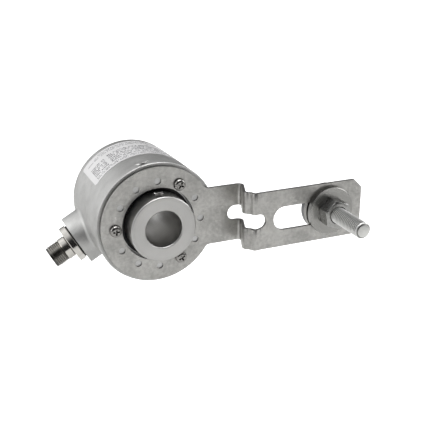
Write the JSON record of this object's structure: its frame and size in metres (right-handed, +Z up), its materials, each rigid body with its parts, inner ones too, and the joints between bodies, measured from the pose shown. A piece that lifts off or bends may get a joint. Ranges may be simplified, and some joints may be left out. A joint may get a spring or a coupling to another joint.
{
  "type": "rotary encoder",
  "caption": "Round hollow-shaft rotary encoder with a clamping hub, a radial round plug connector and a joggled sheet-metal torque arm that carries an adjustable threaded stud.",
  "frame": {"origin": "on the shaft axis, in the plane of the torque arm's front face", "axes": "+X along the torque arm, -Y out of the clamping hub towards the machine, +Z up"},
  "size_m": [0.1485, 0.1011, 0.0598],
  "materials": {
    "cast_aluminium": "satin, bead-blasted casting",
    "machined_aluminium": "turned, clear anodised",
    "arm_sheet": "mill-finish stainless sheet, stamped and bent",
    "shaft_steel": "turned stainless steel",
    "screw_steel": "bright stainless screws",
    "stud_steel": "bright stainless, rolled thread",
    "nut_steel": "drawn stainless hexagon",
    "washer_steel": "stamped and tumbled stainless",
    "spring_steel": "blued spring steel",
    "bearing_steel": "ground and polished",
    "cage_steel": "pressed ribbon",
    "nickel_plate": "nickel-plated brass",
    "contact_gold": "gold-plated contacts",
    "seal_rubber": "black nitrile",
    "black_moulding": "glass-filled moulding",
    "board_laminate": "green solder mask",
    "lead_film": "amber film lead",
    "capacitor_ceramic": "fired ceramic",
    "optical_glass": "polished optical glass",
    "label_foil": "white printed foil"
  },
  "bodies": {
    "stator": {"housing": "cast_aluminium", "front_flange": "machined_aluminium", "flange_oring": "seal_rubber", "housing_grub_screws": "screw_steel", "rear_cover": "machined_aluminium", "rear_cover_oring": "seal_rubber", "rear_cover_screws": "screw_steel", "board_posts": "nickel_plate", "board_spacers": "black_moulding", "torque_arm": "arm_sheet", "torque_arm_screws": "screw_steel", "front_bearing_outer_ring": "bearing_steel", "rear_bearing_outer_ring": "bearing_steel", "bearing_outer_spacer": "machined_aluminium", "wave_spring": "spring_steel", "bearing_retaining_ring": "spring_steel", "front_shaft_seal": "seal_rubber", "rear_shaft_seal": "seal_rubber", "light_source": "black_moulding", "collimator_lens": "optical_glass", "reticle": "optical_glass", "sensor_frame": "black_moulding", "photo_sensor": "black_moulding", "circuit_board": "board_laminate", "interface_chip": "black_moulding", "board_capacitors": "capacitor_ceramic", "board_header": "black_moulding", "ribbon_lead": "lead_film", "connector_shell": "nickel_plate", "connector_gasket": "seal_rubber", "connector_insert": "black_moulding", "connector_pins": "contact_gold", "rating_label": "label_foil"},
    "rotor": {"hollow_shaft": "shaft_steel", "shaft_set_screws": "screw_steel", "front_bearing_inner_ring": "bearing_steel", "rear_bearing_inner_ring": "bearing_steel", "bearing_inner_spacer": "machined_aluminium", "shaft_retaining_ring": "spring_steel", "disc_hub": "machined_aluminium", "code_disc": "optical_glass", "disc_clamp_ring": "machined_aluminium", "disc_screws": "screw_steel"},
    "front_ball_set": {"front_bearing_balls": "bearing_steel", "front_bearing_cage": "cage_steel"},
    "rear_ball_set": {"rear_bearing_balls": "bearing_steel", "rear_bearing_cage": "cage_steel"},
    "torque_stud": {"torque_bolt": "stud_steel", "torque_nut": "nut_steel", "front_washer": "washer_steel", "rear_washer": "washer_steel", "backing_washer": "spring_steel", "lock_washer": "spring_steel"}
  },
  "joints": [
    {"name": "shaft_spin", "type": "hinge", "parent": "stator", "child": "rotor", "pos_m": [0, 0, 0], "axis": [0, 1, 0], "continuous": true},
    {"name": "front_cage_spin", "type": "hinge", "parent": "stator", "child": "front_ball_set", "pos_m": [0, 0.0145, 0], "axis": [0, 1, 0], "continuous": true},
    {"name": "rear_cage_spin", "type": "hinge", "parent": "stator", "child": "rear_ball_set", "pos_m": [0, 0.0275, 0], "axis": [0, 1, 0], "continuous": true},
    {"name": "stud_slide", "type": "slide", "parent": "stator", "child": "torque_stud", "axis": [1, 0, 0], "range_m": [-0.0257, 0.0055]}
  ],
  "couplings": [
    {"joint": "front_cage_spin", "follows": "shaft_spin", "ratio": 0.4435},
    {"joint": "rear_cage_spin", "follows": "shaft_spin", "ratio": 0.4435}
  ]
}
